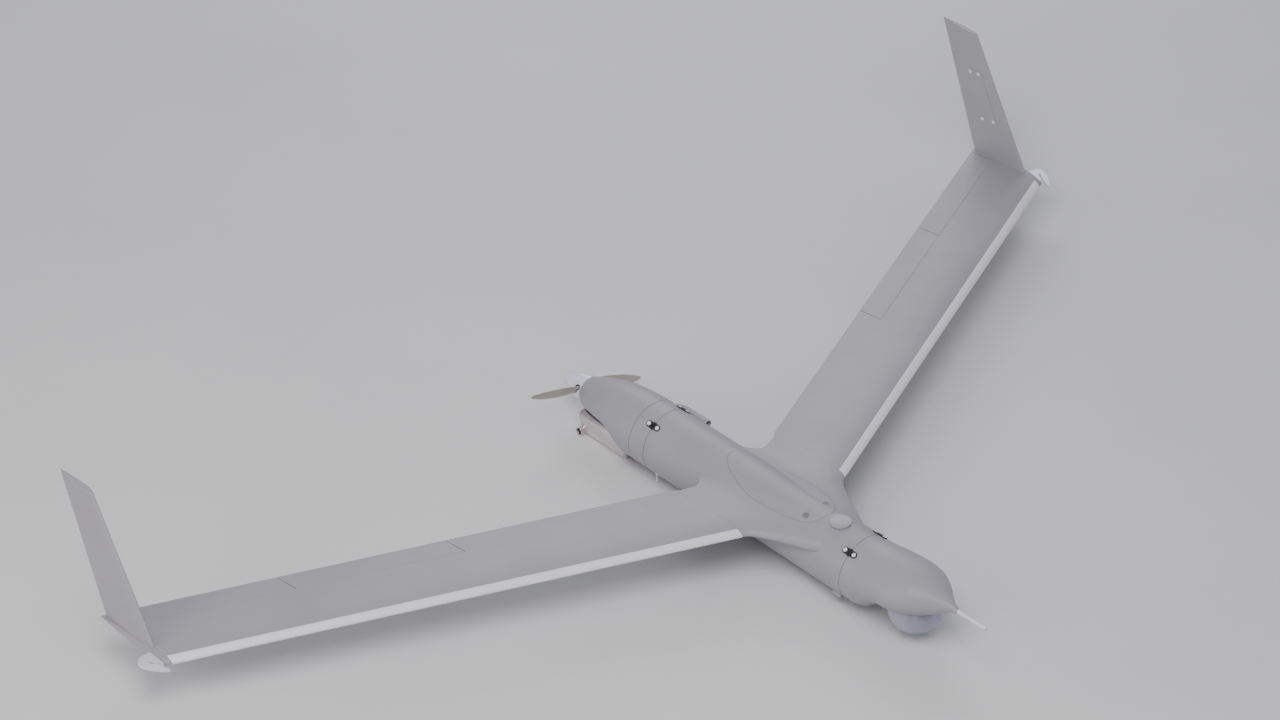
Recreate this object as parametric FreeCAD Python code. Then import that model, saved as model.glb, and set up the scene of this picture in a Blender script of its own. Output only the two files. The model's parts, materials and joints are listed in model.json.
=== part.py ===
"""Long-endurance fixed wing drone: tube fuselage, swept wing with winglets, pusher propeller, nose turret.

Millimetres. While modelling, +X is the aircraft's left, Y runs aft from the nose tip (Y = 0) and Z is up
from the fuselage axis. Each part is moved to the row frame when it is written: the origin is then under
the middle of the aircraft, at the height of its lowest point.
"""
import FreeCAD
import Part
import math
import os

V = FreeCAD.Vector
X_AXIS, Y_AXIS, Z_AXIS = V(1, 0, 0), V(0, 1, 0), V(0, 0, 1)

# fuselage
FUS_R = 90.0
SKIN = 2.5
NOSE_JOINT = 328.0
RING_JOINT = 1048.0
COWL_JOINT = 1103.0
FIREWALL_Y = 1095.0
BULKHEADS = ((336.0, 30.0), (1020.0, 24.0))
SPINNER_BASE = 1352.0
SPINNER_TIP = 1455.0
SPINNER_R = 38.0
PITOT_Z = 49.0
PITOT_TIP = -92.0
PITOT_R = 4.0
PITOT_STRAIGHT = 60.0

# wing
WING_ROOT_X = 181.0
WING_TIP_X = 1556.0
ROOT_LE_Y = 581.0
ROOT_Z = 46.5
SWEEP = 0.4338
ANHEDRAL = -0.0078
CHORD = 258.0
WING_UP = 17.0
WING_DOWN = 12.0
TE_HALF = 0.8
WING_SKIN = 1.8
HINGE_U = 182.0
COVE_GAP = 0.8
FLAP_X = (741.0, 1142.6)
ELEVON_X = (1144.8, 1527.6)
CAP_X = 1529.5
END_GAP = 2.2
HINGE_ROD_R = 1.5
RUN_GAP = 0.05
SPAR_R = 9.0
SPAR_U = 78.0
STRIP_T = 1.2
STRIP_W = 20.0

# winglet
WINGLET_X = 1545.0
WINGLET_ROOT = (1217.0, 205.0, 30.0)
WINGLET_TOP = (1440.0, 129.0, 413.0)
WINGLET_THICK = 0.095
WINGLET_SKIN = 2.0
COVER_T = 0.7

# turret
TURRET_Y = 146.0
TURRET_Z = -18.0
DOME_R = 71.0
DOME_T = 2.0
DOME_RISE = 40.0
REST_PAN = -40.0
REST_TILT = 28.0
TURRET_CLEAR_R = 74.0
CAMERAS = ((20.0, 18.0, 14.5), (-21.0, 14.0, 11.5))

# power unit
PROP_Y = 1364.0
PROP_R = 205.0
PROP_ANGLE = 18.5
SHAFT_R = 7.5
CRANKCASE_R = 30.0
MUFFLER_Y = (1152.0, 1322.0)
MUFFLER_A = (-54.0, -33.0)
MUFFLER_B = (-40.0, -81.0)
MUFFLER_R = 17.5
OUTLET = (-46.0, 1316.0, -82.0)
OUTLET_R = 9.5
OUTLET_BORE_R = 6.8
OUTLET_LENGTH = 26.0

# joint latches: angle round the fuselage from +X
LATCH_ANGLES = (54.0, 126.0)
LUG_ANGLES = (-43.0, -137.0)
SCOOP_ANGLE = 37.0
SCOOP_R = 92.0
LATCH_LENGTH = 46.0
LATCH_WIDTH = 17.0
LATCH_T = 3.6
LATCH_SUNK = 1.1

parts = {}


# ---------------------------------------------------------------- helpers
def box(x0, x1, y0, y1, z0, z1):
    return Part.makeBox(x1 - x0, y1 - y0, z1 - z0, V(x0, y0, z0))


def rod(radius, start, end):
    run = end - start
    return Part.makeCylinder(radius, run.Length, start, run)


def disc(radius, y0, y1, x=0.0, z=0.0):
    return Part.makeCylinder(radius, y1 - y0, V(x, y0, z), Y_AXIS)


def slot_prism(length, width, thick):
    """A round-ended bar along Y, centred on the origin, standing on Z = 0."""
    half = length / 2 - width / 2
    bar = box(-width / 2, width / 2, -half, half, 0, thick)
    for end in (-half, half):
        bar = bar.fuse(Part.makeCylinder(width / 2, thick, V(0, end, 0)))
    return bar.removeSplitter()


def spline(points):
    curve = Part.BSplineCurve()
    curve.interpolate(points)
    return curve.toShape()


def moved(shape, offset):
    copy = shape.copy()
    copy.translate(offset)
    return copy


def mirrored(shape):
    return shape.mirror(V(0, 0, 0), X_AXIS)


def radial(shape, angle, radius, y):
    """Stands a shape, built on Z = 0 about the origin, on the fuselage at an angle from +X."""
    copy = shape.copy()
    copy.translate(V(0, 0, radius))
    copy.rotate(V(0, 0, 0), Y_AXIS, 90 - angle)
    copy.translate(V(0, y, 0))
    return copy


def both_sides(name, shape):
    parts["left_" + name] = shape
    parts["right_" + name] = mirrored(shape)


def pair(name, shape):
    parts[name] = Part.makeCompound([shape, mirrored(shape)])


def revolve_profile(points, closing):
    """Turns a spline of (y, radius) points, closed by a straight run of points, about the Y axis."""
    edge = spline([V(r, y, 0) for y, r in points])
    run = [V(r, y, 0) for y, r in [points[-1], *closing, points[0]]]
    wire = Part.Wire([edge, *Part.makePolygon(run).Edges])
    return Part.Face(wire).revolve(V(0, 0, 0), Y_AXIS, 360)


# ---------------------------------------------------------------- aerofoil sections
def thickness_at(u):
    """Thickness share of a symmetric aerofoil at chord share u; its largest value is 1."""
    return 2.969 * math.sqrt(u) - 1.26 * u - 3.516 * u**2 + 2.843 * u**3 - 1.036 * u**4


def aerofoil_points(chord, up, down, te=TE_HALF, stations=12):
    shares = [(1 - math.cos(math.pi * i / stations)) / 2 for i in range(stations + 1)]
    top = [(u * chord, up * thickness_at(u) + te * u) for u in reversed(shares)]
    low = [(u * chord, -down * thickness_at(u) - te * u) for u in shares[1:]]
    return top + low


def section_face(x, le, z, chord, up, down, te=TE_HALF):
    outline = [V(x, le + u, z + w) for u, w in aerofoil_points(chord, up, down, te)]
    curve = spline(outline)
    return Part.Wire([curve, Part.makeLine(outline[-1], outline[0])])


def wing_section(inset=0.0, nose=0.0, tail=0.0):
    """The wing's section at the root station; inset thins it, nose and tail move its ends inwards."""
    return Part.Face(
        section_face(
            WING_ROOT_X, ROOT_LE_Y + nose, ROOT_Z, CHORD - nose - tail,
            WING_UP - inset, WING_DOWN - inset, max(0.3, TE_HALF - inset),
        )
    )


def along_wing(face, x0, x1):
    """Sweeps a root-station face from span station x0 to x1."""
    start = x0 - WING_ROOT_X
    run = x1 - x0
    placed = moved(face, V(start, start * SWEEP, start * ANHEDRAL))
    return placed.extrude(V(run, run * SWEEP, run * ANHEDRAL))


def wing_point(x, u, w=0.0):
    span = x - WING_ROOT_X
    return V(x, ROOT_LE_Y + u + span * SWEEP, ROOT_Z + w + span * ANHEDRAL)


def root_box(u0, u1):
    """A tall face over part of the chord at the root station."""
    y0, y1 = ROOT_LE_Y + u0, ROOT_LE_Y + u1
    z0, z1 = ROOT_Z - 60, ROOT_Z + 60
    x = WING_ROOT_X
    return Part.Face(Part.makePolygon([V(x, y0, z0), V(x, y1, z0), V(x, y1, z1), V(x, y0, z1), V(x, y0, z0)]))


# ---------------------------------------------------------------- wings
def hinge_height():
    """Centre height and half thickness of the wing at the hinge line."""
    share = HINGE_U / CHORD
    top = WING_UP * thickness_at(share) + TE_HALF * share
    low = -WING_DOWN * thickness_at(share) - TE_HALF * share
    return (top + low) / 2, (top - low) / 2


def hinge_circle(extra):
    middle, half = hinge_height()
    centre = V(WING_ROOT_X, ROOT_LE_Y + HINGE_U, ROOT_Z + middle)
    return Part.Face(Part.Wire([Part.makeCircle(half - 0.15 + extra, centre, X_AXIS)]))


def hinge_axis_rod(radius, x0, x1):
    middle = hinge_height()[0]
    return rod(radius, wing_point(x0, HINGE_U, middle), wing_point(x1, HINGE_U, middle))


def make_wings():
    whole = wing_section()
    cove = root_box(HINGE_U, CHORD + 10).fuse(hinge_circle(COVE_GAP))
    front = whole.cut(cove)
    inner = wing_section(WING_SKIN, 3.0, 26.0)
    inner_front = inner.common(root_box(0, HINGE_U - 14))
    fixed_end = FLAP_X[0] - END_GAP
    panel = along_wing(whole, WING_ROOT_X + 0.3, fixed_end).fuse(along_wing(front, fixed_end, CAP_X - 0.5))
    panel = panel.cut(along_wing(inner, WING_ROOT_X + 4, fixed_end - 4))
    panel = panel.cut(along_wing(inner_front, fixed_end + 4, CAP_X - 4.5))
    spar = rod(SPAR_R, wing_point(2, SPAR_U, 2), wing_point(700, SPAR_U, 2))
    spar_bore = rod(SPAR_R + RUN_GAP, wing_point(0, SPAR_U, 2), wing_point(701, SPAR_U, 2))
    spar = spar.cut(rod(SPAR_R - 1.5, wing_point(0, SPAR_U, 2), wing_point(710, SPAR_U, 2)))
    panel = panel.cut(spar_bore).cut(hinge_axis_rod(HINGE_ROD_R, FLAP_X[0] - 17, FLAP_X[0] + 10))
    both_sides("wing_panel", panel)
    pair("wing_spars", spar)
    tail = whole.common(root_box(HINGE_U, CHORD + 1)).fuse(hinge_circle(0)).removeSplitter()
    bore = hinge_axis_rod(HINGE_ROD_R + RUN_GAP, FLAP_X[0] - 5, CAP_X + 5)
    both_sides("inboard_flap", along_wing(tail, *FLAP_X).cut(bore))
    both_sides("outboard_elevon", along_wing(tail, *ELEVON_X).cut(bore))
    pair("hinge_rods", hinge_axis_rod(HINGE_ROD_R, FLAP_X[0] - 17, CAP_X + 4))
    cap = along_wing(whole, CAP_X, WING_TIP_X).cut(hinge_axis_rod(HINGE_ROD_R, CAP_X - 5, CAP_X + 4))
    pair("wingtip_caps", cap)
    bigger = wing_section(-STRIP_T, -STRIP_T, 0)
    strip = bigger.cut(whole).common(root_box(-5, STRIP_W))
    pair("leading_edge_strips", along_wing(strip, WING_ROOT_X + 1, CAP_X + 10))
    servos = []
    for station in (900.0, 1330.0):
        middle = wing_point(station, 120, 3)
        servos.append(box(middle.x - 20, middle.x + 20, middle.y - 9, middle.y + 9, middle.z - 8, middle.z + 8))
    parts["wing_servos"] = Part.makeCompound(servos + [mirrored(servo) for servo in servos])
    return cap


# ---------------------------------------------------------------- winglets
def winglet_wire(share, grow=0.0, x=WINGLET_X):
    le, chord, z = (a + share * (b - a) for a, b in zip(WINGLET_ROOT, WINGLET_TOP))
    half = chord * WINGLET_THICK / 2 + grow
    points = aerofoil_points(chord + min(0, grow) * 4, half, half, max(0.25, 0.6 + grow))
    outline = [V(x + w, le - min(0, grow) * 1.5 + u, z) for u, w in points]
    return Part.Wire([spline(outline), Part.makeLine(outline[-1], outline[0])])


def winglet_half_thickness(y, z):
    share = (z - WINGLET_ROOT[2]) / (WINGLET_TOP[2] - WINGLET_ROOT[2])
    le, chord = (a + share * (b - a) for a, b in zip(WINGLET_ROOT[:2], WINGLET_TOP[:2]))
    return chord * WINGLET_THICK / 2 * thickness_at((y - le) / chord) + 0.6 * (y - le) / chord


def make_winglets(cap):
    solid = Part.makeLoft([winglet_wire(0), winglet_wire(1)], True, True)
    hollow = Part.makeLoft([winglet_wire(0.1, -WINGLET_SKIN), winglet_wire(0.98, -WINGLET_SKIN)], True, True)
    lower = hollow.cut(box(1500, 1600, 1100, 1700, 0, 70))
    fin = solid.cut(cap).cut(lower)
    both_sides("winglet", max(fin.Solids, key=lambda s: s.Volume))
    corners = [(1463, 297), (1412, 305), (1338, 160), (1403, 147)]
    outline = Part.makePolygon([V(WINGLET_X - 25, y, z) for y, z in corners + corners[:1]])
    prism = Part.Face(outline).extrude(V(25, 0, 0))
    proud = Part.makeLoft([winglet_wire(0, COVER_T), winglet_wire(1, COVER_T)], True, True)
    cover = proud.common(prism).cut(solid)
    cover = max(cover.Solids, key=lambda s: s.Volume)
    screws = []
    for y, z in ((1452, 290), (1420, 294), (1396, 158), (1352, 168)):
        face = WINGLET_X - winglet_half_thickness(y, z)
        washer = rod(5.0, V(face + 0.4, y, z), V(face - 1.8, y, z)).cut(solid)
        cover = cover.cut(rod(5.0, V(face + 3, y, z), V(face - 3, y, z)))
        screws.append(washer.cut(rod(2.2, V(face - 0.7, y, z), V(face - 3, y, z))))
    pair("winglet_covers", cover)
    parts["winglet_cover_screws"] = Part.makeCompound(screws + [mirrored(screw) for screw in screws])


# ---------------------------------------------------------------- recovery hooks
HOOK_Z = 36.0
HOOK_T = 9.0
GATE_PIVOT = (1564.5, 1197.0)


def make_hooks(cap):
    z = HOOK_Z - HOOK_T / 2
    path = [V(x, y, z) for x, y in ((1556.2, 1240), (1586, 1238))]
    edges = [Part.makeLine(path[0], path[1])]
    nose = [V(x, y, z) for x, y in ((1586, 1238), (1601, 1227), (1602, 1209))]
    edges.append(Part.Arc(*nose).toShape())
    edges.append(spline([V(x, y, z) for x, y in ((1602, 1209), (1586, 1180), (1559, 1153))]))
    corners = ((1559, 1153), (1569, 1183), (1585.2, 1208.6))
    edges += Part.makePolygon([V(x, y, z) for x, y in corners]).Edges
    edges.append(Part.Arc(*[V(x, y, z) for x, y in ((1585.2, 1208.6), (1584.6, 1213.2), (1580.2, 1212))]).toShape())
    corners = ((1580.2, 1212), (1563, 1187), (1556.2, 1183), (1556.2, 1240))
    edges += Part.makePolygon([V(x, y, z) for x, y in corners]).Edges
    body = Part.Face(Part.Wire(edges)).extrude(V(0, 0, HOOK_T))
    pivot = V(GATE_PIVOT[0], GATE_PIVOT[1], z)
    pocket = Part.makeCylinder(6.5, 3.6, pivot + V(0, 0, 2.7))
    sweep_room = box(GATE_PIVOT[0], GATE_PIVOT[0] + 20, GATE_PIVOT[1] - 4, GATE_PIVOT[1] + 14, z + 2.7, z + 6.3)
    body = body.cut(pocket).cut(sweep_room).cut(Part.makeCylinder(1.5, HOOK_T, pivot))
    pair("tip_hooks", body)
    gate = Part.makeCylinder(5.0, 2.8, pivot + V(0, 0, 3.1))
    gate = gate.fuse(box(pivot.x, pivot.x + 13.5, pivot.y - 2.2, pivot.y + 2.2, pivot.z + 3.1, pivot.z + 5.9))
    both_sides("hook_gate", gate.cut(Part.makeCylinder(1.56, HOOK_T, pivot)).removeSplitter())
    pair("hook_gate_pins", Part.makeCylinder(1.5, HOOK_T, pivot))


# ---------------------------------------------------------------- centre fuselage
# half-span station, leading edge, trailing edge, section height, rise, drop
CENTRE_SECTIONS = (
    (181.0, 581.0, 839.0, 46.5, 17.0, 12.0),
    (152.0, 553.0, 822.0, 46.5, 17.5, 13.0),
    (126.0, 508.0, 814.0, 46.0, 19.5, 15.5),
    (102.0, 458.0, 824.0, 45.0, 23.5, 20.0),
    (78.0, 412.0, 862.0, 43.0, 30.0, 26.0),
    (0.0, 372.0, 915.0, 42.0, 45.0, 34.0),
)
HATCH_OUTLINE = (
    (0, 458), (30, 466), (56, 495), (70, 545), (76, 610), (70, 680), (52, 745), (30, 795), (0, 815),
)
HATCH_T = 3.0
FASTENER = (36.0, 504.0)


def centre_wires(inset):
    wires = []
    for x, le, te, z, up, down in CENTRE_SECTIONS:
        chord = te - le - inset * 6
        te_half = TE_HALF if inset == 0 else 0.3
        wires.append(section_face(x, le + inset * 2, z, chord, up - inset, down - inset, te_half))
    return wires


def both_halves(wires):
    mirrored_wires = [w.mirror(V(0, 0, 0), X_AXIS) for w in wires[:-1]]
    return Part.makeLoft(wires + mirrored_wires[::-1], True, False)


def hatch_prism(inset):
    def shrink(x, y):
        middle_y = 636
        return x * (1 - inset / 76), middle_y + (y - middle_y) * (1 - inset / 178)

    half = [shrink(x, y) for x, y in HATCH_OUTLINE]
    ring = half + [(-x, y) for x, y in half[-2:0:-1]]
    curve = Part.BSplineCurve()
    curve.interpolate([V(x, y, 55) for x, y in ring], PeriodicFlag=True)
    return Part.Face(Part.Wire([curve.toShape()])).extrude(V(0, 0, 60))


def height_at(solid, x, y):
    return Part.makeLine(V(x, y, 60), V(x, y, 150)).common(solid).BoundBox.ZMax


def on_surface(solid, shape, x, y):
    """Lays a shape, built about the origin, on the top of a solid and tilts it to the slope across."""
    slope = (height_at(solid, x + 4, y) - height_at(solid, x - 4, y)) / 8
    copy = shape.copy()
    copy.rotate(V(0, 0, 0), Y_AXIS, -math.degrees(math.atan(slope)))
    copy.translate(V(x, y, height_at(solid, x, y)))
    return copy


def make_centre():
    tube = disc(FUS_R, NOSE_JOINT, RING_JOINT)
    body = tube.fuse(both_halves(centre_wires(0)))
    room = disc(FUS_R - SKIN, NOSE_JOINT - 1, RING_JOINT + 1).fuse(both_halves(centre_wires(SKIN)))
    lid = body.common(hatch_prism(0.9)).cut(moved(body, V(0, 0, -HATCH_T)))
    lid = max(lid.Solids, key=lambda s: s.Volume)
    recess = body.common(hatch_prism(0)).cut(moved(body, V(0, 0, -HATCH_T - 0.3)))
    spar_bores = rod(SPAR_R + RUN_GAP, wing_point(100, SPAR_U, 2), wing_point(190, SPAR_U, 2))
    shell = body.cut(room).cut(recess).cut(hatch_prism(9)).cut(spar_bores).cut(mirrored(spar_bores))
    below_lid = moved(body, V(0, 0, -HATCH_T - 0.3))
    rim = body.common(hatch_prism(-3)).cut(hatch_prism(9)).common(below_lid)
    rim = rim.cut(moved(body, V(0, 0, -HATCH_T - 2.5)))
    shell = shell.fuse(rim)
    shell = max(shell.Solids, key=lambda s: s.Volume)
    fasteners = {}
    for side, sign in (("left", 1), ("right", -1)):
        head = Part.makeCylinder(8.5, 3.0, V(0, 0, -2.0)).cut(box(-6.5, 6.5, -1.2, 1.2, 0.2, 2.0))
        fasteners[side] = on_surface(body, head, FASTENER[0] * sign, FASTENER[1])
        lid = lid.cut(on_surface(body, Part.makeCylinder(8.9, 12, V(0, 0, -6)), FASTENER[0] * sign, FASTENER[1]))
        well = on_surface(body, Part.makeCylinder(9.5, 12, V(0, 0, -2.4)), FASTENER[0] * sign, FASTENER[1])
        shell = shell.cut(well)
    parts["centre_fuselage"] = shell
    parts["top_hatch"] = lid
    for side, shape in fasteners.items():
        parts["hatch_fastener_" + side] = shape
    puck = Part.makeCylinder(23.0, 5.5, V(0, 415, 85.0)).fuse(Part.makeCylinder(27.0, 5.5, V(0, 415, 90.5)))
    puck = puck.fuse(Part.makeCylinder(21.0, 1.5, V(0, 415, 96.0))).removeSplitter()
    parts["gps_antenna"] = puck.cut(tube)
    parts["whip_antenna"] = make_whip()


def make_whip():
    foot = V(-60, 1026, -62)
    shaft = rod(1.3, foot, foot + V(0, 0, -26))
    whip = shaft.fuse(Part.makeSphere(3.2, foot + V(0, 0, -27))).fuse(rod(3.5, foot + V(0, 0, 0), foot + V(0, 0, -8)))
    return whip.cut(disc(FUS_R, 900, 1100))


# ---------------------------------------------------------------- nose
# key stations: distance aft, half width, height of the widest point, top, bottom
NOSE_KEYS = (
    (0.0, 5.0, 49.0, 54.0, 44.0), (22.0, 13.0, 48.5, 61.0, 36.0), (45.0, 29.0, 46.0, 70.0, 22.0),
    (70.0, 50.0, 43.0, 79.0, 7.0), (100.0, 71.0, 40.0, 89.0, -8.0), (130.0, 84.0, 37.0, 95.0, -20.0),
    (170.0, 91.0, 32.0, 97.0, -31.0), (215.0, 90.0, 27.0, 96.0, -38.0), (240.0, 89.5, 20.0, 95.0, -50.0),
    (262.0, 89.5, 12.0, 93.0, -72.0), (282.0, 90.0, 5.0, 91.0, -86.0), (304.0, 90.0, 0.0, 90.0, -90.0),
    (328.0, 90.0, 0.0, 90.0, -90.0),
)
NOSE_STEP = 328.0 / 24


def steady(keys, y, column):
    """Reads a column of a key table at y along a smooth curve that never overshoots its keys."""
    spans = [(b[column] - a[column]) / (b[0] - a[0]) for a, b in zip(keys, keys[1:])]
    i = min(max(k for k, key in enumerate(keys) if key[0] <= y + 1e-9), len(keys) - 2)

    def slope(k):
        if k == 0 or k == len(spans):
            return spans[min(k, len(spans) - 1)]
        before, after = spans[k - 1], spans[k]
        return 0.0 if before * after <= 0 else 2 * before * after / (before + after)

    width = keys[i + 1][0] - keys[i][0]
    t = (y - keys[i][0]) / width
    start = keys[i][column] * (1 + 2 * t) * (1 - t) ** 2 + slope(i) * width * t * (1 - t) ** 2
    return start + keys[i + 1][column] * t * t * (3 - 2 * t) + slope(i + 1) * width * t * t * (t - 1)


def nose_wires(inset, first=0):
    wires = []
    for k in range(first, 25):
        y = k * NOSE_STEP
        a, mid, top, low = (steady(NOSE_KEYS, y, column) for column in (1, 2, 3, 4))
        a, top, low = a - inset, top - inset, low + inset
        points_up = [V(a * math.cos(t), y, mid + (top - mid) * math.sin(t)) for t in quarter_turns(0)]
        points_low = [V(a * math.cos(t), y, mid + (mid - low) * math.sin(t)) for t in quarter_turns(math.pi)]
        wires.append(Part.Wire([spline(points_up), spline(points_low)]))
    return wires


def quarter_turns(start):
    return [start + math.pi * i / 8 for i in range(9)]


def make_nose():
    solid = Part.makeLoft(nose_wires(0), True, False)
    room = Part.makeLoft(nose_wires(SKIN, 3), True, False)
    clear = Part.makeSphere(TURRET_CLEAR_R, V(0, TURRET_Y, TURRET_Z))
    shell = solid.cut(room).cut(clear).cut(disc(PITOT_R, -5, 30, 0, PITOT_Z))
    parts["nose_shell"] = max(shell.Solids, key=lambda s: s.Volume)
    probe = revolve_profile([(6, 6.0), (-12, 5.0), (-32, PITOT_R)], [(-32, 0), (6, 0)])
    probe = probe.fuse(disc(PITOT_R, -32 - PITOT_STRAIGHT, -32)).fuse(disc(PITOT_R, -1, 28))
    probe = moved(probe, V(0, 0, PITOT_Z)).cut(disc(1.0, PITOT_TIP - 1, 29, 0, PITOT_Z))
    parts["pitot_probe"] = probe.cut(parts["nose_shell"]).removeSplitter()
    centre = V(0, TURRET_Y, TURRET_Z)
    dome = Part.makeSphere(DOME_R, centre).cut(Part.makeSphere(DOME_R - DOME_T, centre))
    dome = dome.cut(box(-100, 100, 0, 300, TURRET_Z + DOME_RISE, 100))
    parts["turret_dome"] = dome
    ring_foot = V(0, TURRET_Y, TURRET_Z + DOME_RISE)
    parts["dome_retainer"] = Part.makeCylinder(58, 6, ring_foot).cut(Part.makeCylinder(51, 6, ring_foot))
    base = room.common(box(-100, 100, TURRET_Y - 45, TURRET_Y + 45, 62, 67))
    base = base.fuse(Part.makeCylinder(16, 8, V(0, TURRET_Y, 54)))
    parts["gimbal_base"] = base.cut(Part.makeCylinder(6.05, 20, V(0, TURRET_Y, 50)))
    make_gimbal()


def aimed(shape, tilt=0.0):
    """Turns a turret part from straight ahead to where the cameras look at rest."""
    centre = V(0, TURRET_Y, TURRET_Z)
    copy = shape.copy()
    copy.rotate(centre, X_AXIS, tilt)
    copy.rotate(centre, Z_AXIS, REST_PAN)
    return copy


def make_gimbal():
    yoke = box(-48, 48, TURRET_Y - 14, TURRET_Y + 14, 10, 15).fuse(Part.makeCylinder(24, 8, V(0, TURRET_Y, 15)))
    yoke = yoke.fuse(Part.makeCylinder(6, 43, V(0, TURRET_Y, 23)))
    for sign in (-1, 1):
        x0, x1 = sorted((sign * 43, sign * 48))
        arm = box(x0, x1, TURRET_Y - 14, TURRET_Y + 14, TURRET_Z, 12)
        yoke = yoke.fuse(arm).fuse(rod(14, V(x0, TURRET_Y, TURRET_Z), V(x1, TURRET_Y, TURRET_Z)))
    yoke = yoke.cut(rod(5.05, V(-60, TURRET_Y, TURRET_Z), V(60, TURRET_Y, TURRET_Z))).removeSplitter()
    parts["gimbal_yoke"] = aimed(yoke)
    head = rod(24, V(-40, TURRET_Y, TURRET_Z), V(40, TURRET_Y, TURRET_Z))
    head = head.fuse(rod(5, V(-48, TURRET_Y, TURRET_Z), V(48, TURRET_Y, TURRET_Z)))
    barrels, lenses = [], []
    for x, radius, glass_r in CAMERAS:
        front, back = TURRET_Y - 50, TURRET_Y - 8
        head = head.cut(disc(radius, 60, back, x, TURRET_Z))
        barrel = disc(radius, front, back, x, TURRET_Z).cut(disc(glass_r, front - 1, front + 8, x, TURRET_Z))
        barrels.append(aimed(barrel, REST_TILT))
        lenses.append(aimed(disc(glass_r, front + 3, front + 8, x, TURRET_Z), REST_TILT))
    parts["camera_cradle"] = aimed(head.removeSplitter(), REST_TILT)
    parts["camera_barrels"] = Part.makeCompound(barrels)
    parts["camera_lenses"] = Part.makeCompound(lenses)


# ---------------------------------------------------------------- rear fuselage and engine
COWL_OPENING = (
    (1122, -68), (1150, -44), (1170, -20), (1190, 0), (1215, 6), (1245, 4), (1275, -1), (1305, -10), (1322, -24),
)
COWL_PROFILE = ((1103.3, 90.0), (1150.0, 89.0), (1210.0, 83.0), (1270.0, 70.0), (1320.0, 52.0), (1350.5, 39.0))


def make_rear():
    ring = disc(FUS_R, RING_JOINT + 0.3, COWL_JOINT).cut(disc(FUS_R - SKIN, RING_JOINT, COWL_JOINT + 1))
    parts["engine_ring"] = ring
    outer = revolve_profile(list(COWL_PROFILE), [(1350.5, 0), (1103.3, 0)])
    inner_points = [(y, r - SKIN) for y, r in COWL_PROFILE]
    inner = revolve_profile(inner_points, [(1350.5, 0), (1103.3, 0)])
    edge = [V(-120, y, z) for y, z in COWL_OPENING]
    lid = Part.makePolygon([edge[-1], V(-120, 1322, -100), V(-120, 1122, -100), edge[0]])
    opening = Part.Face(Part.Wire([spline(edge), *lid.Edges])).extrude(V(125, 0, 0))
    cowl = outer.cut(inner).cut(opening)
    parts["engine_cowl"] = max(cowl.Solids, key=lambda s: s.Volume)
    duct = disc(11, 975, 1060).fuse(Part.makeCone(11, 4, 30, V(0, 1060, 0), Y_AXIS)).cut(disc(8.5, 974, 1050))
    angle = math.radians(SCOOP_ANGLE)
    duct = moved(duct, V(SCOOP_R * math.cos(angle), 0, SCOOP_R * math.sin(angle))).cut(disc(FUS_R, 900, 1200))
    parts["cooling_scoop"] = max(duct.Solids, key=lambda s: s.Volume)
    crankcase = disc(CRANKCASE_R, 1195, 1300).fuse(Part.makeCylinder(17, 40, V(0, 1240, -40)))
    parts["engine_crankcase"] = crankcase.cut(disc(SHAFT_R + RUN_GAP, 1190, 1310)).removeSplitter()
    barrel = Part.makeCylinder(15, 24, V(0, 1240, -64))
    for k in range(5):
        barrel = barrel.fuse(Part.makeCylinder(19, 2, V(0, 1240, -64 + 5.5 * k)))
    parts["cylinder_head"] = barrel
    posts = [rod(4, V(x, FIREWALL_Y + 4, z), V(x, 1195, z)) for x in (-22, 22) for z in (-18, 18)]
    parts["engine_mounts"] = Part.makeCompound(posts)
    carburettor = box(-16, 16, 1205, 1235, 25, 58).cut(disc(CRANKCASE_R, 1190, 1250))
    parts["carburettor"] = carburettor.fuse(rod(10, V(0, 1220, 44), V(-32, 1220, 44)))
    make_exhaust()
    make_propeller()


def make_exhaust():
    low, high = MUFFLER_Y
    (ax, az), (bx, bz) = MUFFLER_A, MUFFLER_B
    body = disc(MUFFLER_R, low, high, ax, az).fuse(disc(MUFFLER_R, low, high, bx, bz))
    across = V(bx - ax, 0, bz - az).normalize()
    normal = V(across.z, 0, -across.x) * MUFFLER_R
    a, b = V(ax, low, az), V(bx, low, bz)
    slab = Part.Face(Part.makePolygon([a + normal, b + normal, b - normal, a - normal, a + normal]))
    body = body.fuse(slab.extrude(V(0, high - low, 0))).removeSplitter()
    ends = [e for e in body.Edges if abs(e.BoundBox.YLength) < 0.1]
    body = body.makeFillet(10.0, ends)
    x, y, z = OUTLET
    inner_end, mouth = V(x, y, z), V(x - OUTLET_LENGTH, y, z)
    pipe = rod(OUTLET_R, inner_end, mouth)
    parts["muffler"] = body.cut(pipe)
    parts["exhaust_outlet"] = pipe.cut(rod(OUTLET_BORE_R, inner_end, mouth))
    header = rod(6, V(-8, 1240, -42), V(-40, 1240, -62)).cut(body)
    parts["exhaust_header"] = header.cut(Part.makeCylinder(19, 60, V(0, 1240, -80)))


def blade_wire(r, chord, pitch, thick):
    points = aerofoil_points(chord, thick * 0.75, thick * 0.35, 0.35, 8)
    turn = math.radians(pitch)
    outline = []
    for u, w in points:
        u = u - chord * 0.4
        outline.append(V(r, u * math.sin(turn) + w * math.cos(turn), u * math.cos(turn) - w * math.sin(turn)))
    return Part.Wire([spline(outline), Part.makeLine(outline[-1], outline[0])])


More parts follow.
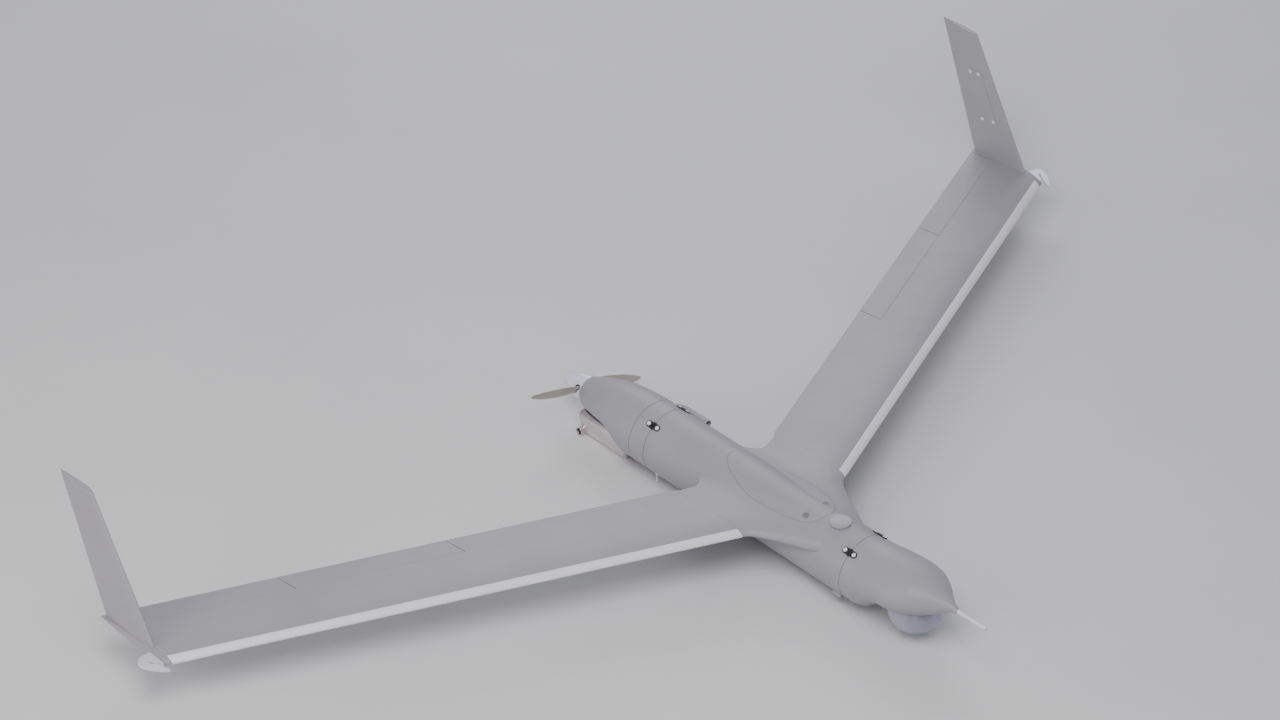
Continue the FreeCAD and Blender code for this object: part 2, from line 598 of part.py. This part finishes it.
def make_propeller():
    stations = (
        (14.0, 25.0, 40.0, 9.0), (36.0, 34.0, 34.0, 7.5), (80.0, 37.0, 25.0, 5.5),
        (130.0, 31.0, 19.0, 3.8), (180.0, 19.0, 15.0, 2.4), (PROP_R, 6.0, 13.0, 1.4),
    )
    blade = Part.makeLoft([blade_wire(*s) for s in stations], True, False)
    gate = Part.makeLoft([blade_wire(r, c + 4, p, t + 7) for r, c, p, t in stations[:3]], True, False)
    other = blade.copy()
    other.rotate(V(0, 0, 0), Y_AXIS, 180)
    hub = disc(17, -9, 9)
    propeller = hub.fuse(blade).fuse(other).cut(disc(SHAFT_R + 0.02, -12, 12))
    propeller.rotate(V(0, 0, 0), Y_AXIS, PROP_ANGLE)
    parts["propeller"] = moved(propeller, V(0, PROP_Y, 0))
    profile = [(SPINNER_BASE, SPINNER_R), (1385, 34.5), (1420, 22.5), (1445, 8.5), (SPINNER_TIP, 0.6)]
    outer = revolve_profile(profile, [(SPINNER_TIP, 0), (SPINNER_BASE, 0)])
    inner = revolve_profile([(y, r - 1.6) for y, r in profile[:4]], [(1445, 0), (SPINNER_BASE, 0)])
    spinner = outer.cut(inner)
    for turn in (0, 180):
        slot = gate.copy()
        slot.rotate(V(0, 0, 0), Y_AXIS, PROP_ANGLE + turn)
        spinner = spinner.cut(moved(slot, V(0, PROP_Y, 0)))
    parts["spinner"] = max(spinner.Solids, key=lambda s: s.Volume)
    plate = disc(SPINNER_R - 2, SPINNER_BASE + 0.2, SPINNER_BASE + 2.7).cut(disc(SHAFT_R + 0.02, 1340, 1360))
    parts["spinner_backplate"] = plate
    parts["crankshaft"] = disc(SHAFT_R, 1200, 1384)
    parts["propeller_nut"] = disc(12, 1373.2, 1383).cut(disc(SHAFT_R, 1370, 1385))


# ---------------------------------------------------------------- latches, bulkheads and contents
def make_latches():
    plate = slot_prism(LATCH_LENGTH, LATCH_WIDTH, LATCH_T).fuse(Part.makeCylinder(10.5, LATCH_T))
    plate = plate.cut(Part.makeCylinder(7.3, 10))
    stud = Part.makeCylinder(5.6, 0.8)
    toggle = Part.makeCylinder(7.0, 3.2).cut(box(-5.5, 5.5, -1.1, 1.1, 2.0, 4))
    bases, studs, lugs = [], [], []
    for name, y in (("nose", NOSE_JOINT), ("rear", RING_JOINT)):
        for side, angle in zip(("left", "right"), LATCH_ANGLES):
            bases.append(radial(plate, angle, FUS_R - LATCH_SUNK, y))
            for shift in (-15.0, 15.0):
                studs.append(radial(moved(stud, V(0, shift, 0)), angle, FUS_R + 2.5, y))
            parts[f"{name}_latch_{side}"] = radial(toggle, angle, FUS_R - 0.3, y)
    lug = box(-8, 8, -15, 15, -1, 8)
    lug = lug.makeFillet(2.0, [e for e in lug.Edges if e.BoundBox.ZLength < 0.1 and e.BoundBox.ZMin > 7])
    for angle in LUG_ANGLES:
        lugs.append(radial(lug, angle, FUS_R, NOSE_JOINT + 22).cut(disc(FUS_R, 300, 400)))
    parts["latch_plates"] = Part.makeCompound(bases)
    parts["latch_studs"] = Part.makeCompound(studs)
    parts["belly_lugs"] = Part.makeCompound(lugs)
    blank = slot_prism(LATCH_LENGTH, LATCH_WIDTH, 12).fuse(Part.makeCylinder(10.5, 12))
    pockets = [radial(blank, a, FUS_R - LATCH_SUNK, y) for a in LATCH_ANGLES for y in (NOSE_JOINT, RING_JOINT)]
    for shell in ("nose_shell", "centre_fuselage", "engine_ring"):
        for pocket in pockets:
            parts[shell] = parts[shell].cut(pocket)


def make_contents():
    inner = FUS_R - SKIN
    walls = [disc(inner, y, y + 4).cut(disc(hole, y - 1, y + 5)) for y, hole in BULKHEADS]
    parts["bulkheads"] = Part.makeCompound(walls + [disc(inner, FIREWALL_Y, FIREWALL_Y + 4)])
    parts["battery"] = box(-45, 45, 350, 425, -60, -5)
    parts["avionics_box"] = box(-55, 55, 445, 600, -50, 10)
    tank = box(-50, 50, 640, 900, -60, 25)
    parts["fuel_tank"] = tank.makeFillet(14, tank.Edges)


def main():
    cap = make_wings()
    make_winglets(cap)
    make_hooks(cap)
    make_centre()
    make_nose()
    make_rear()
    make_latches()
    make_contents()
    points = [point for shape in parts.values() for point in shape.tessellate(0.2)[0]]
    middle = (min(p.y for p in points) + max(p.y for p in points)) / 2
    lowest = min(p.z for p in points)
    print("row frame origin is at y %.3f z %.3f" % (middle, lowest))
    os.makedirs("parts", exist_ok=True)
    for name, shape in parts.items():
        placed = moved(shape, V(0, -middle, -lowest))
        if not placed.isValid() or not placed.Solids:
            print("BAD", name, placed.ShapeType, len(placed.Solids))
        placed.exportStep("parts/%s.step" % name)
    print(len(parts), "parts")


main()
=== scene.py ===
"""Fixed wing drone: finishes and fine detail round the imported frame. Metres, in the frame's own axes."""
import bmesh
import bpy
import json
import math
from mathutils import Matrix, Vector


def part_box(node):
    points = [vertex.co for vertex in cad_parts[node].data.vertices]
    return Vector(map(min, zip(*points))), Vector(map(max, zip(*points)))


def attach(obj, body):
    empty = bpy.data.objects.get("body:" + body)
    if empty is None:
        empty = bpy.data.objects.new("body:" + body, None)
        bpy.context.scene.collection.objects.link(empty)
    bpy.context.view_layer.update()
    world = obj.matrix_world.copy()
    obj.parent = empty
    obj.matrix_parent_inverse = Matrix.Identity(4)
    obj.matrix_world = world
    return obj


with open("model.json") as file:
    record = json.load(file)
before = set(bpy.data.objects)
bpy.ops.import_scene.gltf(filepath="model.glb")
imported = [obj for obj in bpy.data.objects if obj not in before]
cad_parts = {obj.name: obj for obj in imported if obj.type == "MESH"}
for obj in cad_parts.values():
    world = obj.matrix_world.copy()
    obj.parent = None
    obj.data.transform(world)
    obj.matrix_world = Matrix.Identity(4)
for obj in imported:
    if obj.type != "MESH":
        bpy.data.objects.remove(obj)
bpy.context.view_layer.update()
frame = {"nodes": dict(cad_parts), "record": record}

NODES = frame["nodes"]

# places read from the frame
NOSE_JOINT_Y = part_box("centre_fuselage")[0][1]
RING_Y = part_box("centre_fuselage")[1][1]
COWL_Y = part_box("engine_cowl")[0][1]
TUBE_R = (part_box("engine_ring")[1][0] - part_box("engine_ring")[0][0]) / 2
AXIS_Z = (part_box("engine_ring")[1][2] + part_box("engine_ring")[0][2]) / 2

# camera
CAMERA_FROM_NOSE_JOINT = Vector((-6.5973, -6.2558, 0.0))
CAMERA_ABOVE_AXIS = 7.2080
CAMERA_AZIMUTH = -42.96
CAMERA_ELEVATION = 35.90
CAMERA_ROLL = 0.17
CAMERA_LENS = 129.5

# light: name, place, size, power, colour
LIGHTS = (
    ("key", (-2.2, -1.5, 4.8), 3.0, 165.0, (1.0, 0.99, 1.0)),
    ("fill", (-4.5, 1.0, 1.6), 3.0, 60.0, (1.0, 0.93, 0.86)),
    ("rim", (3.5, 4.0, 3.2), 2.5, 90.0, (0.93, 0.94, 1.0)),
)
LIGHT_TARGET = Vector((0, 0.1, 0.1))
WORLD_COLOUR = (0.86, 0.87, 0.92, 1)
WORLD_STRENGTH = 0.42

# joint lines round the tube, drawn as thin bands of painted shade
SEAM_HALF_WIDTH = 0.0007
SEAM_PROUD = 0.00012
SEAM_DEPTH = 0.001

# tail pipe's rolled end
PIPE_BORE_R = 0.0068
LIP_R = 0.0098
LIP_WIDTH = 0.0045

# cowl screws: (distance aft of the nose joint, degrees above the side)
SCREW_PLACES = ((0.765, 56.8), (0.798, 39.2), (0.799, 3.8))
SCREW_R = 0.0030
SCREW_SOCKET_R = 0.0009
SCREW_CHAMFER = 0.0006
SCREW_DEPTH = 0.0015
SCREW_PROUD = 0.0009


# ---------------------------------------------------------------- materials
def new_material(name):
    material = bpy.data.materials.new(name)
    material.use_nodes = True
    tree = material.node_tree
    return material, tree, tree.nodes["Principled BSDF"]


def object_noise(tree, scale, detail=4.0, stretch=(1, 1, 1)):
    coords = tree.nodes.new("ShaderNodeTexCoord")
    mapping = tree.nodes.new("ShaderNodeMapping")
    mapping.inputs["Scale"].default_value = stretch
    noise = tree.nodes.new("ShaderNodeTexNoise")
    noise.inputs["Scale"].default_value = scale
    noise.inputs["Detail"].default_value = detail
    tree.links.new(coords.outputs["Object"], mapping.inputs["Vector"])
    tree.links.new(mapping.outputs["Vector"], noise.inputs["Vector"])
    return noise.outputs["Fac"]


def ramp(tree, factor, dark, light, low=0.35, high=0.65):
    node = tree.nodes.new("ShaderNodeValToRGB")
    node.color_ramp.elements[0].position = low
    node.color_ramp.elements[0].color = (*dark, 1)
    node.color_ramp.elements[1].position = high
    node.color_ramp.elements[1].color = (*light, 1)
    tree.links.new(factor, node.inputs["Fac"])
    return node.outputs["Color"]


def ranged(tree, factor, low, high):
    node = tree.nodes.new("ShaderNodeMapRange")
    node.inputs["To Min"].default_value = low
    node.inputs["To Max"].default_value = high
    tree.links.new(factor, node.inputs["Value"])
    return node.outputs["Result"]


def add_bump(tree, shader, factor, strength, distance):
    bump = tree.nodes.new("ShaderNodeBump")
    bump.inputs["Strength"].default_value = strength
    bump.inputs["Distance"].default_value = distance
    tree.links.new(factor, bump.inputs["Height"])
    tree.links.new(bump.outputs["Normal"], shader.inputs["Normal"])


def finish_material(name, colour, spread=0.04, rough=(0.4, 0.5), scale=6.0, metallic=0.0, grain=900.0,
                    grain_depth=0.00003, stretch=(1, 1, 1), coat=0.0):
    """A procedural finish: slow colour drift, varying gloss and a fine grain."""
    material, tree, shader = new_material(name)
    drift = object_noise(tree, scale, 5.0)
    dark = [max(0.0, c * (1 - spread)) for c in colour]
    light = [min(1.0, c * (1 + spread)) for c in colour]
    tree.links.new(ramp(tree, drift, dark, light), shader.inputs["Base Color"])
    gloss = object_noise(tree, scale * 3, 6.0, stretch)
    tree.links.new(ranged(tree, gloss, *rough), shader.inputs["Roughness"])
    shader.inputs["Metallic"].default_value = metallic
    shader.inputs["Coat Weight"].default_value = coat
    add_bump(tree, shader, object_noise(tree, grain, 2.0, stretch), 0.35, grain_depth)
    return material


def clear_dome_material():
    material, tree, shader = new_material("dome_glass")
    tint = ramp(tree, object_noise(tree, 9.0), (0.78, 0.78, 0.90), (0.86, 0.86, 0.95))
    tree.links.new(tint, shader.inputs["Base Color"])
    tree.links.new(ranged(tree, object_noise(tree, 30.0), 0.03, 0.08), shader.inputs["Roughness"])
    shader.inputs["Transmission Weight"].default_value = 0.72
    shader.inputs["IOR"].default_value = 1.12
    return material


def paired_lens_material(left, right):
    """Coated glass in one colour on the left camera's lens and another on the right's."""
    material, tree, shader = new_material("lens_glass")
    coords = tree.nodes.new("ShaderNodeTexCoord")
    split = tree.nodes.new("ShaderNodeSeparateXYZ")
    tree.links.new(coords.outputs["Generated"], split.inputs["Vector"])
    tree.links.new(ramp(tree, split.outputs["X"], left, right, 0.48, 0.52), shader.inputs["Base Color"])
    tree.links.new(ranged(tree, object_noise(tree, 60.0), 0.03, 0.10), shader.inputs["Roughness"])
    shader.inputs["Coat Weight"].default_value = 1.0
    return material


PAINT = finish_material("paint", (0.355, 0.347, 0.385), 0.035, (0.40, 0.50), 5.0)
GUARD = finish_material("white_guard", (0.90, 0.89, 0.95), 0.02, (0.30, 0.42), 14.0)
SPINNER = finish_material("white_guard_spinner", (0.78, 0.78, 0.92), 0.02, (0.18, 0.26), 20.0, coat=0.3)
HOOK = finish_material("hook_metal", (0.84, 0.84, 0.93), 0.04, (0.30, 0.42), 40.0, 0.25)
BLACK = finish_material("black_plastic", (0.018, 0.018, 0.022), 0.25, (0.35, 0.55), 60.0)
PUCK = finish_material("puck_plastic", (0.42, 0.41, 0.45), 0.05, (0.35, 0.45), 40.0)
STEEL = finish_material("steel", (0.48, 0.48, 0.50), 0.10, (0.25, 0.40), 80.0, 1.0)
ALUMINIUM = finish_material("aluminium", (0.60, 0.60, 0.62), 0.08, (0.28, 0.42), 60.0, 1.0)
EXHAUST = finish_material("exhaust_metal", (0.74, 0.68, 0.69), 0.12, (0.24, 0.36), 18.0, 1.0,
                          grain=260.0, grain_depth=0.0001, stretch=(1, 0.06, 1))
BLADE = finish_material("prop_blade", (0.44, 0.41, 0.36), 0.07, (0.25, 0.36), 22.0, coat=0.2)
CARBON = finish_material("carbon", (0.02, 0.02, 0.02), 0.3, (0.25, 0.4), 200.0)
TANK = finish_material("tank_plastic", (0.58, 0.56, 0.48), 0.06, (0.4, 0.55), 12.0)
# painted shade: a near-black finish for the bands that stand in for the shade in the tube's joints
SEAM = finish_material("seam_shadow", (0.10, 0.10, 0.115), 0.1, (0.6, 0.7), 50.0)
DOME = clear_dome_material()
LENS = paired_lens_material((0.02, 0.22, 0.15), (0.22, 0.27, 0.38))
FLOOR = finish_material("floor", (0.76, 0.76, 0.77), 0.02, (0.7, 0.8), 1.5, grain=120.0)

BY_SLOT = {
    "paint": PAINT, "white_guard": GUARD, "hook_metal": HOOK, "black_plastic": BLACK, "puck_plastic": PUCK,
    "steel": STEEL, "aluminium": ALUMINIUM, "exhaust_metal": EXHAUST, "dome_glass": DOME,
    "lens_glass": LENS, "prop_blade": BLADE, "carbon": CARBON, "tank_plastic": TANK,
}
BY_NODE = {"spinner": SPINNER, "camera_cradle": PUCK}


def dress(node, material):
    holder = NODES[node]
    if not holder.material_slots:
        holder.data.materials.append(material)
    for material_slot in holder.material_slots:
        material_slot.link = "OBJECT"
        material_slot.material = material


def dress_frame():
    for subpart in frame["record"]["subparts"]:
        node = subpart["node"]
        dress(node, BY_NODE.get(node, BY_SLOT[subpart["material_slot"]]))


# ---------------------------------------------------------------- piece makers
def piece(name, mesh_maker, body, material):
    """A smooth-shaded mesh that rides a body of the frame."""
    mesh = bpy.data.meshes.new(name)
    shape = bmesh.new()
    mesh_maker(shape)
    bmesh.ops.recalc_face_normals(shape, faces=shape.faces)
    shape.to_mesh(mesh)
    shape.free()
    for face in mesh.polygons:
        face.use_smooth = True
    obj = bpy.data.objects.new(name, mesh)
    bpy.context.scene.collection.objects.link(obj)
    obj.data.materials.append(material)
    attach(obj, body)
    return obj


def turned(profile, origin, axis, steps=64):
    """A maker for a closed ring-like solid: (along, radius) points turned about an axis."""
    axis = Vector(axis).normalized()
    side = axis.orthogonal().normalized()
    other = axis.cross(side)

    def make(shape):
        rings = []
        for k in range(steps):
            turn = 2 * math.pi * k / steps
            out = side * math.cos(turn) + other * math.sin(turn)
            rings.append([shape.verts.new(Vector(origin) + axis * a + out * r) for a, r in profile])
        count = len(profile)
        for k in range(steps):
            this, following = rings[k], rings[(k + 1) % steps]
            for i in range(count):
                j = (i + 1) % count
                shape.faces.new((this[i], this[j], following[j], following[i]))
    return make


# ---------------------------------------------------------------- details
def seam_rings():
    """Dark joint lines round the tube, each a thin flat band of painted shade."""
    inner, outer, half = TUBE_R - SEAM_DEPTH, TUBE_R + SEAM_PROUD, SEAM_HALF_WIDTH
    profile = [(-half, inner), (-half, outer), (half, outer), (half, inner)]
    for name, y in (("seam_nose", NOSE_JOINT_Y), ("seam_ring", RING_Y), ("seam_cowl", COWL_Y)):
        piece(name, turned(profile, (0, y, AXIS_Z), (0, 1, 0), 160), "airframe", SEAM)


def outlet_lip():
    """A rolled bead round the tail pipe's open end."""
    low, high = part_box("exhaust_outlet")
    mouth = (low[0], (low[1] + high[1]) / 2, (low[2] + high[2]) / 2)
    profile = [
        (0.0, PIPE_BORE_R), (0.0, 0.0092), (0.0012, LIP_R),
        (0.0035, LIP_R), (LIP_WIDTH, 0.0095), (LIP_WIDTH, PIPE_BORE_R),
    ]
    piece("outlet_rolled_lip", turned(profile, mouth, (1, 0, 0), 48), "airframe", EXHAUST)


def cowl_screws():
    """Socket screws through the cowl, alike on both sides."""
    inner, outer = TUBE_R - SCREW_DEPTH, TUBE_R + SCREW_PROUD
    profile = [
        (inner, SCREW_SOCKET_R), (outer, SCREW_SOCKET_R), (outer, SCREW_R - SCREW_CHAMFER),
        (outer - SCREW_CHAMFER, SCREW_R), (inner, SCREW_R),
    ]
    for side, sign in (("left", 1), ("right", -1)):
        for k, (aft, degrees) in enumerate(SCREW_PLACES):
            turn = math.radians(degrees)
            out = (sign * math.cos(turn), 0, math.sin(turn))
            origin = (0, NOSE_JOINT_Y + aft, AXIS_Z)
            name = "cowl_screw_%s_%d" % (side, k)
            piece(name, turned(profile, origin, out, 24), "airframe", STEEL)


# ---------------------------------------------------------------- studio
def studio_camera():
    a, e, r = (math.radians(v) for v in (CAMERA_AZIMUTH, CAMERA_ELEVATION, CAMERA_ROLL))
    right = Vector((math.cos(a), math.sin(a), 0))
    back = Vector((math.sin(a) * math.cos(e), -math.cos(a) * math.cos(e), math.sin(e)))
    up = back.cross(right)
    turned_right = right * math.cos(r) + up * math.sin(r)
    turned_up = up * math.cos(r) - right * math.sin(r)
    place = CAMERA_FROM_NOSE_JOINT + Vector((0, NOSE_JOINT_Y, AXIS_Z + CAMERA_ABOVE_AXIS))
    rotation = Matrix((turned_right, turned_up, back)).transposed().to_4x4()
    data = bpy.data.cameras.new("studio_camera")
    data.lens = CAMERA_LENS
    data.sensor_width = 36.0
    data.clip_end = 60.0
    camera = bpy.data.objects.new("studio_camera", data)
    camera.matrix_world = Matrix.Translation(place) @ rotation
    bpy.context.scene.collection.objects.link(camera)
    bpy.context.scene.camera = camera


def area_light(name, place, size, power, colour):
    data = bpy.data.lights.new(name, "AREA")
    data.size = size
    data.energy = power
    data.color = colour
    lamp = bpy.data.objects.new(name, data)
    lamp.location = place
    lamp.rotation_euler = (LIGHT_TARGET - Vector(place)).to_track_quat("-Z", "Y").to_euler()
    bpy.context.scene.collection.objects.link(lamp)


def studio_light():
    for light in LIGHTS:
        area_light(*light)
    world = bpy.data.worlds.new("studio")
    world.use_nodes = True
    background = world.node_tree.nodes["Background"]
    background.inputs["Color"].default_value = WORLD_COLOUR
    background.inputs["Strength"].default_value = WORLD_STRENGTH
    bpy.context.scene.world = world


def floor():
    bpy.ops.mesh.primitive_plane_add(size=40, location=(0, 0, 0))
    plane = bpy.context.object
    plane.name = "studio_floor"
    plane.data.materials.append(FLOOR)


dress_frame()
seam_rings()
outlet_lip()
cowl_screws()
floor()
studio_camera()
studio_light()
